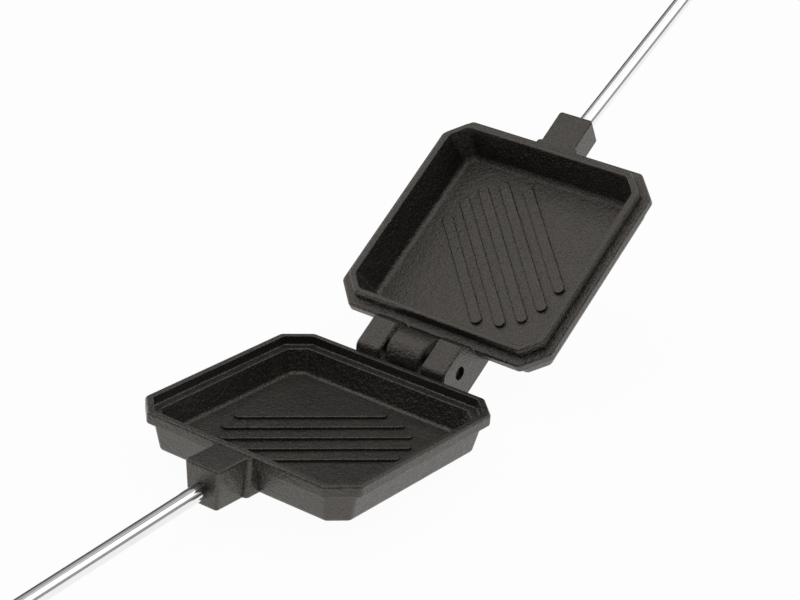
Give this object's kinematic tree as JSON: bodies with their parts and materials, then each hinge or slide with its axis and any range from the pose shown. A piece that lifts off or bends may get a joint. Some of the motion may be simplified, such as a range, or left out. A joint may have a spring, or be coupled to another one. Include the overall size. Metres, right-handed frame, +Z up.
{
  "type": "pie iron",
  "caption": "Hinged cast-iron pie iron: square dished plates with interlocking rims and sear ribs, splayed chromed rods and turned wooden grips, open on its hinge stop.",
  "frame": {"origin": "middle of the object's bounding box, on the ground it stands on", "axes": "+Z up, +Y from the lower handle through the hinge to the upper handle, X along the hinge pin"},
  "size_m": [0.1106, 1.4304, 0.337],
  "materials": {
    "cast_iron": "seasoned black, fine sand-cast texture",
    "pin_steel": "oiled dark steel",
    "chromed_rod": "bright chrome plate",
    "ferrule_steel": "brushed steel",
    "turned_wood": "oiled hardwood, turned",
    "washer_steel": "plain zinc-plated steel",
    "nut_steel": "nickel-plated steel"
  },
  "bodies": {
    "lower": {"lower_plate": "cast_iron", "lower_rod": "chromed_rod", "lower_ferrule": "ferrule_steel", "lower_grip": "turned_wood", "lower_washer": "washer_steel", "lower_end_nut": "nut_steel"},
    "upper": {"upper_plate": "cast_iron", "hinge_pin": "pin_steel", "upper_rod": "chromed_rod", "upper_ferrule": "ferrule_steel", "upper_grip": "turned_wood", "upper_washer": "washer_steel", "upper_end_nut": "nut_steel"}
  },
  "joints": [
    {"name": "hinge", "type": "hinge", "parent": "lower", "child": "upper", "pos_m": [0, 0.03435, 0.01719], "axis": [1, 0, 0], "range_deg": [0, 143.2]}
  ]
}
